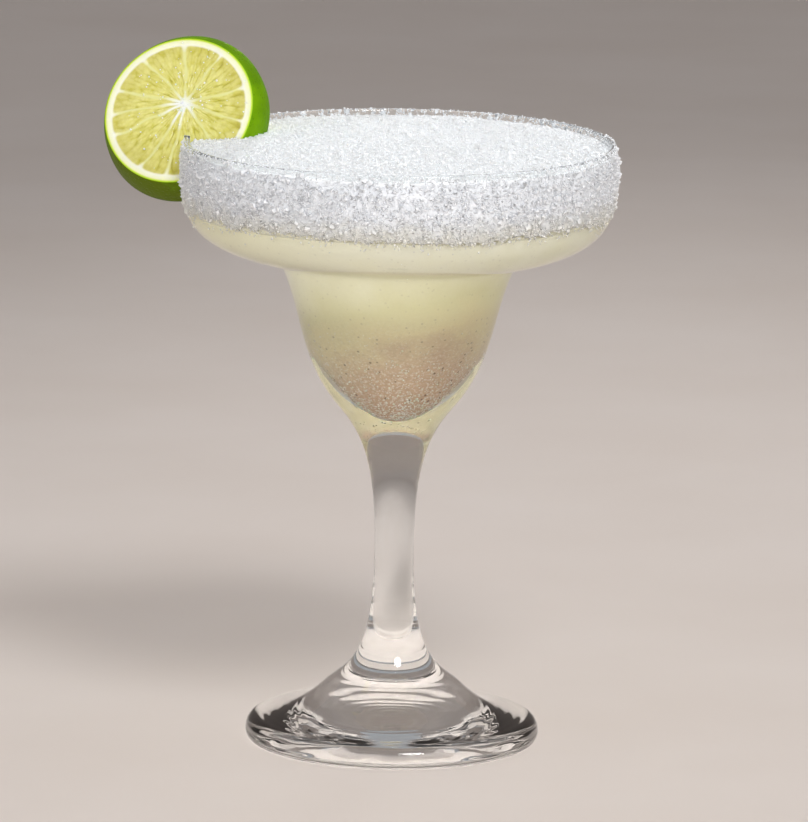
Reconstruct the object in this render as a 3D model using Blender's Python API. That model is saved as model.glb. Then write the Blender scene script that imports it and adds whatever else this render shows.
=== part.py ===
"""Margarita cocktail in its stemmed glass: drink, crushed ice, salted rim and a lime wheel.

Lengths are in metres and +Z is up. The glass stands on the plane z = 0 with its axis on the Z axis,
and the lime wheel sits on the rim at the -X side, its cut face turned towards -Y.
"""

import math
import random

import bmesh
import bpy
from mathutils import Matrix, Vector, noise

MM = 0.001

# Glass: height, and the radii that drive its outline.
GLASS_HEIGHT = 170 * MM
RIM_RADIUS = 60.2 * MM
FOOT_RADIUS = 41.3 * MM
WAIST_RADIUS = 5.5 * MM
RIM_WALL = 1.5 * MM
RIM_MIDDLE = (RIM_RADIUS - RIM_WALL / 2, GLASS_HEIGHT - RIM_WALL / 2)
BOWL_WALL = 2.0 * MM

# Stations of the glass's outline, as (radius, height).
FOOT_TOP_EDGE = (38.6 * MM, 6.2 * MM)
FOOT_SHOULDER = (20.0 * MM, 14.6 * MM)
WAIST = (WAIST_RADIUS, 52.0 * MM)
BOWL_KNEE = (16.2 * MM, 95.0 * MM)
LOWER_BOWL_TOP = (29.7 * MM, 127.0 * MM)
STEP = (35.1 * MM, 137.1 * MM)
SAUCER_WALL_FOOT = (RIM_RADIUS - 0.3 * MM, 153.9 * MM)
CONE_TOP = (15.0 * MM, 111.3 * MM)
CAVITY_BOTTOM = 95.8 * MM
KNEE_SLOPE = 0.87
BOWL_SLOPE = 0.32
SAUCER_SLOPE = 0.138
CONE_SLOPE = 1.25

# What fills the glass, and what lies on it.
GAP = 0.3 * MM
DRINK_LEVEL = 151.2 * MM
ICE_EDGE = 167.4 * MM
ICE_DOME = 4.2 * MM
ICE_RELIEF = 1.3 * MM
LUMPS = 40
SALT_LOW = 151.5 * MM
SALT_HIGH = GLASS_HEIGHT - 1.4 * MM
SALT_THICKNESS = 0.9 * MM
CRYSTALS = 58
SALT_SEGMENTS = 60

# Lime wheel.
LIME_FACE_RADIUS = 21.7 * MM
LIME_RADIUS = 24.0 * MM
LIME_THICKNESS = 8.8 * MM
LIME_FACE_CENTRE = Vector((-61.9, 8.55, 176.5)) * MM
LIME_LEAN_DEG = 30.5
LIME_TURN_DEG = 19.0
LIME_CORE_OFFSET = (1.57 * MM, 2.4 * MM)
LIME_CROWN = 1.05 * MM
LIME_CROWN_DEG = 75
LIME_CROWN_SHARPNESS = 1.5
LIME_SIDE_SHARES = (0.0, 0.25, 0.5, 0.75, 1.0)
LIME_MEMBRANES_DEG = (102, 63, 18, -15, -48, -93, -113, -149, -168, -187, -219)
SLOT_TOP = GLASS_HEIGHT + 0.8 * MM
SLOT_LOW = 148.0 * MM

SEGMENTS = 48
SEED = 7


def curve(start, start_pull, end_pull, end, steps):
    """Points of a cubic Bezier curve, without its first point."""
    points = []
    for i in range(1, steps + 1):
        t = i / steps
        a, b, c, d = (1 - t) ** 3, 3 * (1 - t) ** 2 * t, 3 * (1 - t) * t * t, t**3
        points.append(
            tuple(a * start[k] + b * start_pull[k] + c * end_pull[k] + d * end[k] for k in (0, 1))
        )
    return points


def pulled(point, direction, length):
    """A curve handle: the point moved by a length along a direction given as (dr, dz)."""
    size = math.hypot(*direction)
    return (point[0] + length * direction[0] / size, point[1] + length * direction[1] / size)


def outer_outline():
    """The glass's outside, from the middle of its underside up to the outside of the rim."""
    foot_flat = (FOOT_RADIUS - 1.1 * MM, 0.0)
    points = [(0.0, 0.0), foot_flat]
    # Rounded edge of the foot, then its nearly flat top that sweeps up into the stem.
    points += curve(
        foot_flat,
        (FOOT_RADIUS + 0.7 * MM, 0.4 * MM),
        (FOOT_RADIUS + 0.6 * MM, 5.3 * MM),
        FOOT_TOP_EDGE,
        5,
    )
    points += curve(
        FOOT_TOP_EDGE,
        pulled(FOOT_TOP_EDGE, (-1, 0.12), 6 * MM),
        pulled(FOOT_SHOULDER, (1, -1), 9.5 * MM),
        FOOT_SHOULDER,
        4,
    )
    points += curve(
        FOOT_SHOULDER,
        pulled(FOOT_SHOULDER, (-1, 1), 7.9 * MM),
        pulled(WAIST, (0, -1), 31.6 * MM),
        WAIST,
        7,
    )
    points += curve(
        WAIST,
        pulled(WAIST, (0, 1), 22.5 * MM),
        pulled(BOWL_KNEE, (-KNEE_SLOPE, -1), 13.5 * MM),
        BOWL_KNEE,
        5,
    )
    points += curve(
        BOWL_KNEE,
        pulled(BOWL_KNEE, (KNEE_SLOPE, 1), 14.2 * MM),
        pulled(LOWER_BOWL_TOP, (-BOWL_SLOPE, -1), 10.2 * MM),
        LOWER_BOWL_TOP,
        4,
    )
    # Step out into the wide saucer, whose floor bends up into a nearly upright wall.
    points += curve(
        LOWER_BOWL_TOP,
        pulled(LOWER_BOWL_TOP, (BOWL_SLOPE, 1), 5.5 * MM),
        pulled(STEP, (-1, -SAUCER_SLOPE), 2.2 * MM),
        STEP,
        3,
    )
    points += curve(
        STEP,
        pulled(STEP, (1, SAUCER_SLOPE), 15.5 * MM),
        pulled(SAUCER_WALL_FOOT, (0, -1), 9.8 * MM),
        SAUCER_WALL_FOOT,
        6,
    )
    return points + [(RIM_RADIUS, RIM_MIDDLE[1])]


def cavity_outline(clear=0.0):
    """The glass's inside, from the rim down to the middle of its bottom, moved inwards by clear."""
    wall_top = (RIM_RADIUS - RIM_WALL - clear, RIM_MIDDLE[1])
    wall_foot = (SAUCER_WALL_FOOT[0] - 1.7 * MM - clear, SAUCER_WALL_FOOT[1] + 0.6 * MM)
    step = (STEP[0] - 0.6 * MM - clear, STEP[1] + BOWL_WALL + clear)
    bowl_top = (LOWER_BOWL_TOP[0] - BOWL_WALL - clear, LOWER_BOWL_TOP[1])
    cone_top = (CONE_TOP[0] - clear, CONE_TOP[1] + clear)
    bottom = (0.0, CAVITY_BOTTOM + clear)
    points = [wall_top, wall_foot]
    points += curve(
        wall_foot,
        pulled(wall_foot, (0, -1), 8.6 * MM),
        pulled(step, (1, SAUCER_SLOPE), 14.0 * MM),
        step,
        5,
    )
    points += curve(
        step,
        pulled(step, (-1, -SAUCER_SLOPE), 3.0 * MM),
        pulled(bowl_top, (BOWL_SLOPE, 1), 6.5 * MM),
        bowl_top,
        2,
    )
    # The lower bowl's inside narrows to a rounded cone, so its wall grows thick towards the stem.
    points += curve(
        bowl_top,
        pulled(bowl_top, (-BOWL_SLOPE, -1), 6.0 * MM),
        pulled(cone_top, (1, CONE_SLOPE), 5.0 * MM),
        cone_top,
        3,
    )
    points += curve(
        cone_top,
        pulled(cone_top, (-1, -CONE_SLOPE), 6.0 * MM),
        (5.0 * MM, bottom[1]),
        bottom,
        4,
    )
    return points


def wall_radius(outline, height):
    """Radius of an outline where it first passes a height, read between its points."""
    for (r0, z0), (r1, z1) in zip(outline, outline[1:]):
        if min(z0, z1) <= height <= max(z0, z1) and z0 != z1:
            return r0 + (r1 - r0) * (height - z0) / (z1 - z0)
    raise ValueError("the outline does not reach this height")


def new_object(name, bm):
    """Makes a linked mesh object from a bmesh, with its faces pointing out."""
    bmesh.ops.remove_doubles(bm, verts=bm.verts, dist=1e-6)
    bmesh.ops.recalc_face_normals(bm, faces=bm.faces)
    mesh = bpy.data.meshes.new(name)
    bm.to_mesh(mesh)
    bm.free()
    obj = bpy.data.objects.new(name, mesh)
    bpy.context.scene.collection.objects.link(obj)
    return obj


def turned(name, outline, segments=SEGMENTS):
    """Spins an outline of (radius, height) points about the Z axis into a closed solid."""
    bm = bmesh.new()
    verts = [bm.verts.new((r, 0.0, z)) for r, z in outline]
    edges = [bm.edges.new(pair) for pair in zip(verts, verts[1:])]
    if outline[0][0] > 0 and outline[-1][0] > 0:
        edges.append(bm.edges.new((verts[-1], verts[0])))
    bmesh.ops.spin(
        bm,
        geom=verts + edges,
        cent=(0, 0, 0),
        axis=(0, 0, 1),
        angle=2 * math.pi,
        steps=segments,
        use_merge=True,
    )
    return new_object(name, bm)


def smooth(obj, angle_deg=35):
    """Shades a round piece smooth, with its real edges kept sharp."""
    obj.data.shade_smooth()
    obj.data.set_sharp_from_angle(angle=math.radians(angle_deg))


def finish_with(obj, name, colour, roughness, transmission=0.0):
    """Gives an object its own plain material."""
    material = bpy.data.materials.new(name)
    material.use_nodes = True
    shader = material.node_tree.nodes["Principled BSDF"]
    shader.inputs["Base Color"].default_value = (*colour, 1.0)
    shader.inputs["Roughness"].default_value = roughness
    shader.inputs["Transmission Weight"].default_value = transmission
    material.diffuse_color = (*colour, 1.0)
    obj.data.materials.clear()
    obj.data.materials.append(material)


def apply_modifiers(obj):
    """Turns what the modifiers show into the object's own mesh."""
    seen = obj.evaluated_get(bpy.context.evaluated_depsgraph_get())
    mesh = bpy.data.meshes.new_from_object(seen)
    obj.modifiers.clear()
    obj.data = mesh


def keep_main_body(obj):
    """Keeps the largest shell alone: a loose scrap goes, and a sealed hollow is filled."""
    bm = bmesh.new()
    bm.from_mesh(obj.data)
    left, shells = set(bm.verts), []
    while left:
        shell, edge_of_shell = set(), [left.pop()]
        while edge_of_shell:
            vert = edge_of_shell.pop()
            shell.add(vert)
            for edge in vert.link_edges:
                other = edge.other_vert(vert)
                if other in left:
                    left.remove(other)
                    edge_of_shell.append(other)
        shells.append(shell)
    main = max(shells, key=len)
    bmesh.ops.delete(bm, geom=[v for v in bm.verts if v not in main], context="VERTS")
    bm.to_mesh(obj.data)
    bm.free()


def cut(obj, cutter):
    """Cuts a closed cutter out of an object, hides the cutter and drops any scrap the cut leaves."""
    modifier = obj.modifiers.new("cut", "BOOLEAN")
    modifier.operation = "DIFFERENCE"
    modifier.solver = "EXACT"
    modifier.object = cutter
    cutter.hide_render = True
    cutter.display_type = "WIRE"
    apply_modifiers(obj)
    keep_main_body(obj)


def fuse_grains(obj, grains):
    """Joins loose grains to the object they lie on by one union, and removes the loose ones."""
    group = bpy.data.collections.new("grains")
    bpy.context.scene.collection.children.link(group)
    for grain in grains:
        bpy.context.scene.collection.objects.unlink(grain)
        group.objects.link(grain)
    modifier = obj.modifiers.new("grains", "BOOLEAN")
    modifier.operation = "UNION"
    modifier.solver = "MANIFOLD"
    modifier.operand_type = "COLLECTION"
    modifier.collection = group
    apply_modifiers(obj)
    for grain in grains:
        bpy.data.objects.remove(grain)
    bpy.data.collections.remove(group)
    keep_main_body(obj)


def grain(size, place, rng):
    """One crystal: a cube stretched unevenly and turned at random, with its corners knocked about."""
    bm = bmesh.new()
    bmesh.ops.create_cube(bm, size=size)
    for vert in bm.verts:
        vert.co *= rng.uniform(0.75, 1.15)
    stretch = Matrix.Diagonal((rng.uniform(0.7, 1.0), rng.uniform(0.7, 1.0), rng.uniform(0.9, 1.35), 1))
    turn = Matrix.Rotation(rng.uniform(0, math.tau), 4, Vector([rng.gauss(0, 1) for _ in range(3)]))
    bm.transform(Matrix.Translation(place) @ turn @ stretch)
    bmesh.ops.triangulate(bm, faces=bm.faces)
    return new_object("grain", bm)


def make_glass():
    """The whole glass as one solid: foot, stem, lower bowl, saucer and half-round rim."""
    rim = []
    for turn_deg in (45, 90, 135):
        turn = math.radians(turn_deg)
        rim.append((
            RIM_MIDDLE[0] + RIM_WALL / 2 * math.cos(turn),
            RIM_MIDDLE[1] + RIM_WALL / 2 * math.sin(turn),
        ))
    glass = turned("glass", outer_outline() + rim + cavity_outline())
    smooth(glass)
    finish_with(glass, "clear_glass", (0.93, 0.95, 0.94), 0.03, 1.0)


def make_drink():
    """The drink fills the lower bowl and the floor of the saucer, up to the underside of the ice."""
    inside = cavity_outline(GAP)
    shore = (wall_radius(inside, DRINK_LEVEL), DRINK_LEVEL)
    below = [p for p in inside if p[1] < DRINK_LEVEL - 0.2 * MM]
    drink = turned("drink", [(0.0, DRINK_LEVEL), shore] + below)
    smooth(drink)
    finish_with(drink, "cloudy_lime_drink", (0.80, 0.78, 0.50), 0.25)


def ice_surface(x, y):
    """Height of the heaped ice: a low dome that rises a little towards the lime wheel."""
    share = min(math.hypot(x, y) / RIM_RADIUS, 1.0)
    towards_lime = math.exp(-((x + 50 * MM) ** 2 + (y - 4 * MM) ** 2) / (18 * MM) ** 2)
    drift = noise.noise(Vector((x, y, 0.0)) / (16 * MM)) * 0.6 * MM
    crumb = noise.noise(Vector((x, y, 3.0)) / (3.1 * MM)) * ICE_RELIEF
    return ICE_EDGE + ICE_DOME * (1 - share**2) + 1.6 * MM * towards_lime + drift + crumb


def make_ice(rng):
    """Crushed ice heaped in the saucer: a grainy low dome with larger grains lying on it."""
    inside = cavity_outline(GAP)
    floor = DRINK_LEVEL + GAP
    sides = [(wall_radius(inside, floor), floor), inside[1], (inside[0][0], ICE_EDGE)]
    rings = 13
    top = [(inside[0][0] * (1 - i / rings) ** 0.9, ICE_EDGE) for i in range(1, rings + 1)]
    ice = turned("crushed_ice", [(0.0, floor)] + sides + top)
    wall = inside[0][0]
    for vert in ice.data.vertices:
        if vert.co.z > ICE_EDGE - 0.1 * MM:
            vert.co.z = ice_surface(vert.co.x, vert.co.y)
            if math.hypot(vert.co.x, vert.co.y) > wall - 1 * MM:
                vert.co.z = min(vert.co.z, GLASS_HEIGHT - 1.2 * MM)
    lumps = []
    for i in range(LUMPS):
        # Sunflower spacing spreads the lumps evenly over the dome.
        reach = (wall - 3.5 * MM) * math.sqrt((i + 0.5) / LUMPS)
        angle = i * math.pi * (3 - math.sqrt(5))
        x, y = reach * math.cos(angle), reach * math.sin(angle)
        size = rng.uniform(1.7, 2.9) * MM
        lumps.append(grain(size, Vector((x, y, ice_surface(x, y))), rng))
    fuse_grains(ice, lumps)
    finish_with(ice, "crushed_ice", (0.90, 0.92, 0.94), 0.6)
    return ice


def make_salt(rng):
    """Salt crust round the outside of the rim, with a ragged lower edge and coarse crystals."""
    outside = outer_outline()
    heights = [SALT_LOW + (SALT_HIGH - SALT_LOW) * i / 6 for i in range(7)]
    near = [(wall_radius(outside[-4:], min(z, outside[-1][1])) + GAP, z) for z in heights]
    far = [(r + SALT_THICKNESS * (0.45 if i in (0, 6) else 1), z) for i, (r, z) in enumerate(near)]
    # Three rows are enough against the wall, with one where its foot starts to bend inwards.
    salt = turned("salt_rim", far + [near[6], near[1], near[0]], SALT_SEGMENTS)
    for vert in salt.data.vertices:
        radius = math.hypot(vert.co.x, vert.co.y)
        angle = math.atan2(vert.co.y, vert.co.x)
        around = Vector((math.cos(angle), math.sin(angle), 0))
        if vert.co.z < SALT_LOW + 0.1 * MM:
            vert.co.z += 1.5 * MM * noise.noise(around * 9)
        if radius > RIM_RADIUS + GAP + 0.2 * MM:
            bump = noise.noise(Vector(vert.co) / (2.3 * MM)) * 0.35 * MM
            vert.co += around * bump
    crystals = []
    for i in range(CRYSTALS):
        # Golden-angle steps round the rim and an even spread of heights leave no bare patch.
        angle = i * math.pi * (3 - math.sqrt(5))
        z = SALT_LOW + 0.8 * MM + (SALT_HIGH - SALT_LOW - 1.2 * MM) * ((i * 0.7549) % 1)
        radius = wall_radius(outside[-4:], min(z, outside[-1][1])) + GAP + SALT_THICKNESS
        size = rng.uniform(1.1, 1.7) * MM
        place = Vector((radius * math.cos(angle), radius * math.sin(angle), z))
        crystal = grain(size, place, rng)
        for vert in crystal.data.vertices:
            # No corner reaches through the crust to the glass.
            reach = math.hypot(vert.co.x, vert.co.y)
            out = max(1.0, (radius - SALT_THICKNESS + 0.2 * MM) / reach)
            vert.co = Vector((vert.co.x * out, vert.co.y * out, vert.co.z))
        crystals.append(crystal)
    fuse_grains(salt, crystals)
    finish_with(salt, "coarse_salt", (0.88, 0.88, 0.88), 0.5)
    return salt


def lime_frame():
    """Where the wheel's front face sits: local +Z looks out of the face and local +Y runs up it."""
    lean = Matrix.Rotation(math.radians(90 - LIME_LEAN_DEG), 4, "X")
    turn = Matrix.Rotation(math.radians(-LIME_TURN_DEG), 4, "Z")
    return Matrix.Translation(LIME_FACE_CENTRE) @ turn @ lean


def lime_side(depth, extra=0.0):
    """Radius of the rind at a depth behind the face: a ball's, cut towards its middle."""
    from_middle = math.sqrt(LIME_RADIUS**2 - LIME_FACE_RADIUS**2) - depth
    return math.sqrt(LIME_RADIUS**2 - from_middle**2) + extra


def lime_crown(depth, angle):
    """Extra bulge of the rind on the wheel's upper side, where the fruit was rounder."""
    upwards = max(math.cos(angle - math.radians(LIME_CROWN_DEG)), 0.0)
    return LIME_CROWN * upwards**LIME_CROWN_SHARPNESS * math.sin(math.pi * depth / LIME_THICKNESS)


def make_lime_clearance():
    """A plain disc a little larger than the wheel, which cuts its place into ice and salt."""
    around = 1.4 * GAP
    outline = [(0.0, GAP), (LIME_FACE_RADIUS + around, GAP)]
    for share in LIME_SIDE_SHARES[1:-1]:
        outline.append((lime_side(LIME_THICKNESS * share, around), -LIME_THICKNESS * share))
    outline += [(lime_side(LIME_THICKNESS, around), -LIME_THICKNESS - GAP), (0.0, -LIME_THICKNESS - GAP)]
    disc = turned("lime_clearance", outline, 50)
    disc.matrix_world = lime_frame()
    return disc


def make_lime():
    """Lime wheel: pulp segments sunk between membranes, a pith ring and a bulging green rind."""
    core = Vector((*LIME_CORE_OFFSET, 0))
    sink, membrane, pith = 0.45 * MM, 0.45 * MM, 2.5 * MM
    spokes = []
    for first, second in zip(LIME_MEMBRANES_DEG, LIME_MEMBRANES_DEG[1:] + (LIME_MEMBRANES_DEG[0] - 360,)):
        for share in (0.0, 0.12, 0.37, 0.63, 0.88):
            spokes.append((math.radians(first + (second - first) * share), share > 0))

    def along(angle, share):
        """A point on the face: share 0 at the core and 1 at the face's edge."""
        way = Vector((math.cos(angle), math.sin(angle), 0))
        reach = -core.dot(way) + math.sqrt(core.dot(way) ** 2 + LIME_FACE_RADIUS**2 - core.length_squared)
        return core + way * reach * share, reach

    bm = bmesh.new()
    rows = []
    for angle, in_pulp in spokes:
        reach = along(angle, 1)[1]
        depth = sink if in_pulp else 0.0
        shares = [1.6 * MM / reach, 2.6 * MM / reach, 0.5, 1 - (pith + membrane) / reach, 1 - pith / reach]
        depths = [0.0, depth, depth * 0.8, depth, 0.0]
        row = [along(angle, s)[0] - Vector((0, 0, d)) for s, d in zip(shares, depths)]
        edge = along(angle, 1)[0]
        for k in LIME_SIDE_SHARES:
            depth = LIME_THICKNESS * k
            radius = lime_side(depth) + lime_crown(depth, math.atan2(edge.y, edge.x))
            row.append(edge.normalized() * radius - Vector((0, 0, depth)))
        back = Vector((0, 0, -LIME_THICKNESS))
        row += [along(angle, s)[0] + back + Vector((0, 0, d)) for s, d in zip(shares[::-1], depths[::-1])]
        rows.append([bm.verts.new(p) for p in row])
    front = bm.verts.new(core)
    rear = bm.verts.new(core + Vector((0, 0, -LIME_THICKNESS)))
    for row, after in zip(rows, rows[1:] + rows[:1]):
        bm.faces.new((front, row[0], after[0]))
        bm.faces.new((rear, after[-1], row[-1]))
        for k in range(len(row) - 1):
            bm.faces.new((row[k], row[k + 1], after[k + 1], after[k]))
    bmesh.ops.triangulate(bm, faces=bm.faces)
    lime = new_object("lime_wheel", bm)
    lime.matrix_world = lime_frame()
    finish_with(lime, "lime", (0.55, 0.66, 0.12), 0.4)
    return lime


def make_rim_slot():
    """A ring round the glass's wall with a gap on both sides, which cuts the wheel's slot."""
    outer = RIM_RADIUS + 2 * GAP
    inside = [p for p in cavity_outline(3 * GAP) if p[1] > SLOT_LOW]
    ends = [(inside[0][0], SLOT_TOP), (outer, SLOT_TOP), (outer, SLOT_LOW), (inside[-1][0], SLOT_LOW)]
    return turned("rim_slot", ends + inside[::-1], 96)


def main():
    """Builds the five pieces and cuts the lime wheel's place into what it touches."""
    for old in list(bpy.data.objects):
        bpy.data.objects.remove(old)
    rng = random.Random(SEED)
    make_glass()
    make_drink()
    ice = make_ice(rng)
    salt = make_salt(rng)
    lime = make_lime()
    clearance = make_lime_clearance()
    cut(ice, clearance)
    cut(salt, clearance)
    cut(lime, make_rim_slot())


main()
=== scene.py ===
# %% [markdown]
# # A margarita in its stepped glass
#
# The real thing is a thick pressed glass with a wide saucer over a narrow lower bowl, a cloudy lime drink,
# fine crushed ice heaped to the rim, a crust of coarse salt and a thick lime wheel slotted onto the edge.
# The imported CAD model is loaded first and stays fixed. Every finer piece below is worked out in that same
# frame, in metres, so it lands where the plain solid is and stands for it.

# %% Load the frame
import itertools
import math

import bpy
import numpy as np
from mathutils import Matrix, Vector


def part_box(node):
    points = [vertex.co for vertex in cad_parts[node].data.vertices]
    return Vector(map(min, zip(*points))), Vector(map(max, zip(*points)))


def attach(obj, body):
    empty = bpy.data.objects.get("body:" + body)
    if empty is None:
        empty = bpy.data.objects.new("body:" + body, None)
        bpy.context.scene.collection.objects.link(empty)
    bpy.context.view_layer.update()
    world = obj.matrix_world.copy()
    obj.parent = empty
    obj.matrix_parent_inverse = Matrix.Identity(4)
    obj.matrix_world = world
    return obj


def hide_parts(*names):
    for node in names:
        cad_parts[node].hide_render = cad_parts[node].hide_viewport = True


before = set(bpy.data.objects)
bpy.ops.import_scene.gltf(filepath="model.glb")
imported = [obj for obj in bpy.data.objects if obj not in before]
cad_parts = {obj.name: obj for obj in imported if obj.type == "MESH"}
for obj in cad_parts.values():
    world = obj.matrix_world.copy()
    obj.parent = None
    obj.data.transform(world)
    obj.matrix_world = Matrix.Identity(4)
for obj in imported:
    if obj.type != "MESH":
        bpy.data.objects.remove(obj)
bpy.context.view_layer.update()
print("nodes:", ", ".join(sorted(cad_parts)))

# %% [markdown]
# ## Driving sizes
#
# The glass is the ruler for everything else. Its height and rim come from the imported node's own box, so
# they can't drift from the CAD, and the rest are sizes read from the photograph once the glass was taken to
# be 170 mm tall.

# %% Sizes of glass and filling
MM = 0.001
glass_low, glass_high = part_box("glass")
GLASS_HEIGHT = glass_high.z
RIM_RADIUS = (glass_high.x - glass_low.x) / 2
RIM_WALL = 1.5 * MM
BOWL_WALL = 2.0 * MM
FOOT_RADIUS = 41.3 * MM
CAVITY_BOTTOM = 95.8 * MM
INTO_WALL = 0.2 * MM
DRINK_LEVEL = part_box("drink")[1].z
ICE_EDGE = GLASS_HEIGHT - 2.6 * MM
ICE_DOME = 4.2 * MM
SALT_LOW = 151.5 * MM
SALT_HIGH = GLASS_HEIGHT - 2.0 * MM
print(f"glass {GLASS_HEIGHT / MM:.1f} mm tall, rim {2 * RIM_RADIUS / MM:.1f} mm across")

# %% [markdown]
# ## From arrays to pieces
#
# Every new piece is a set of points worked out by numpy and a few arrays of faces. One helper puts them in
# a mesh in one go with foreach_set, which is far quicker than adding vertices one by one. Its object stays
# at the origin, so the place of a piece is in its mesh, as it is for a CAD node.

# %% Make a mesh object from arrays
def new_piece(name, points, faces, materials, smooth=True, face_material=None):
    """Joins points (n, 3) and a list of face arrays (m, corners) into one mesh object at the origin."""
    corners = np.concatenate([f.ravel() for f in faces]).astype(np.int32)
    sizes = np.concatenate([np.full(len(f), f.shape[1]) for f in faces])
    mesh = bpy.data.meshes.new(name)
    mesh.vertices.add(len(points))
    mesh.vertices.foreach_set("co", np.asarray(points, np.float32).ravel())
    mesh.loops.add(len(corners))
    mesh.loops.foreach_set("vertex_index", corners)
    mesh.polygons.add(len(sizes))
    mesh.polygons.foreach_set("loop_start", np.concatenate([[0], np.cumsum(sizes)[:-1]]).astype(np.int32))
    mesh.polygons.foreach_set("use_smooth", np.full(len(sizes), smooth))
    for material in materials:
        mesh.materials.append(material)
    if face_material is not None:
        mesh.polygons.foreach_set("material_index", face_material.astype(np.int32))
    mesh.update(calc_edges=True)
    piece = bpy.data.objects.new(name, mesh)
    bpy.context.scene.collection.objects.link(piece)
    print(f"{name}: {len(points)} points, {int((sizes - 2).sum())} triangles")
    return piece


def grid_faces(rows, columns, close_columns=False):
    """Quads between neighbours on a grid of points, its last column joined to its first if asked."""
    row, column = np.meshgrid(np.arange(rows - 1), np.arange(columns - (not close_columns)), indexing="ij")
    after = (column + 1) % columns
    quads = [row * columns + column, (row + 1) * columns + column]
    quads += [(row + 1) * columns + after, row * columns + after]
    return np.stack(quads, -1).reshape(-1, 4)


def round_ring(count):
    """The places 0 to count - 1 on a closed ring, and the place after each."""
    place = np.arange(count)
    return place, (place + 1) % count


def seat(piece, node):
    """Lets a piece ride with the glass and stand for a CAD node, whose plain solid it hides."""
    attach(piece, "root")
    if node:
        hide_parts(node)
    return piece


# %% [markdown]
# ## Repeatable unevenness
#
# Crushed ice, salt and fruit are uneven, but the script has to give the same result each run. So the noise
# is a fixed scramble of whole-numbered places, blended smoothly between them, and every random draw comes
# from a generator with a seed. Pebbles, a field of rounded lumps, are made from the distance to the nearest
# of a set of scattered points.

# %% Noise and pebbles
def scrambled(cell, seed):
    """A fixed number from 0 to 1 for each whole-numbered place (n, k), by mixing its digits."""
    mixed = np.full(len(cell), seed * 374761393, np.int64)
    for k, prime in zip(range(cell.shape[1]), (73856093, 19349663, 83492791)):
        mixed ^= cell[:, k] * prime
        mixed = (mixed ^ (mixed >> 13)) * 1274126177 & 0x7FFFFFFF
    return ((mixed ^ (mixed >> 16)) & 0xFFFFFF) / 0xFFFFFF


def soft_noise(points, size, seed):
    """Smooth noise from -1 to 1: the scrambled values at a cell's corners, eased between them."""
    place = np.asarray(points) / size
    cell = np.floor(place).astype(np.int64)
    share = place - cell
    share = share * share * (3 - 2 * share)
    total = np.zeros(len(place))
    dims = place.shape[1]
    for corner in range(2**dims):
        step = np.array([(corner >> k) & 1 for k in range(dims)])
        weight = np.prod(np.where(step, share, 1 - share), axis=1)
        total += weight * scrambled(cell + step, seed)
    return 2 * total - 1


def pebbles(points, size, seed, jitter=0.8):
    """Rounded lumps from 0 to 1: high near the closest scattered point, low between neighbours."""
    place = np.asarray(points) / size
    cell = np.floor(place).astype(np.int64)
    nearest = np.full(len(place), 9.0)
    dims = place.shape[1]
    for around in range(3**dims):
        step = np.array([(around // 3**k) % 3 - 1 for k in range(dims)])
        home = cell + step
        seeds = [seed + 17 * k for k in range(dims)]
        offset = np.stack([0.5 + jitter * (scrambled(home, s) - 0.5) for s in seeds], 1)
        nearest = np.minimum(nearest, np.linalg.norm(home + offset - place, axis=1))
    return np.sqrt(np.clip(1 - (nearest / 0.85) ** 2, 0, 1))


def random_turns(count, rng):
    """Random rotation matrices (count, 3, 3), from unit quaternions of normal draws."""
    w, x, y, z = (q := rng.normal(size=(4, count))) / np.linalg.norm(q, axis=0)
    rows = [1 - 2 * (y * y + z * z), 2 * (x * y - w * z), 2 * (x * z + w * y)]
    rows += [2 * (x * y + w * z), 1 - 2 * (x * x + z * z), 2 * (y * z - w * x)]
    rows += [2 * (x * z - w * y), 2 * (y * z + w * x), 1 - 2 * (x * x + y * y)]
    return np.stack(rows, 1).reshape(count, 3, 3)


# %% [markdown]
# Ice and salt need tens of thousands of grains, so each grain is a form of six or eight corners. Knocked,
# stretched and turned at random, no two look alike. They are worked out all at once as one array.

# %% Small forms that are repeated many times
CUBE = (
    np.array([[x, y, z] for x in (-0.5, 0.5) for y in (-0.5, 0.5) for z in (-0.5, 0.5)]),
    np.array([[0, 1, 3, 2], [4, 6, 7, 5], [0, 4, 5, 1], [2, 3, 7, 6], [0, 2, 6, 4], [1, 5, 7, 3]]),
)
SHARD = (
    np.array([[0.6, 0, 0], [-0.6, 0, 0], [0, 0.6, 0], [0, -0.6, 0], [0, 0, 0.6], [0, 0, -0.6]]),
    np.array([[0, 2, 4], [2, 1, 4], [1, 3, 4], [3, 0, 4], [2, 0, 5], [1, 2, 5], [3, 1, 5], [0, 3, 5]]),
)
KNOCK = 0.22
STRETCH = (0.6, 1.4)


def scattered(form, centres, sizes, rng):
    """Points and faces of a small form, one at each centre, knocked, stretched and turned at random."""
    corners, faces = form
    count = len(centres)
    knocked = corners * (1 + rng.uniform(-KNOCK, KNOCK, (count, len(corners), 1)))
    knocked = knocked + rng.uniform(-0.5, 0.5, knocked.shape) * KNOCK
    knocked = knocked * rng.uniform(*STRETCH, (count, 1, 3)) * sizes[:, None, None]
    points = np.einsum("nij,nkj->nki", random_turns(count, rng), knocked) + centres[:, None, :]
    first = len(corners) * np.arange(count)[:, None, None]
    return points.reshape(-1, 3), (faces[None] + first).reshape(-1, faces.shape[1])


# %% [markdown]
# ## The outline of the glass
#
# A pressed glass is a turned form, so one outline of radius and height describes it. The outline is a
# chain of cubic curves that meet with the same slope: foot, flare into the stem, knee, lower bowl, the
# hollow fillet under the saucer, saucer and upright wall. Few stations and their slopes are enough. The
# chain has many more points here than the CAD solid has, because glass shows every facet in what it bends.

# %% Curves and the glass's outlines
FINE = 14


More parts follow.
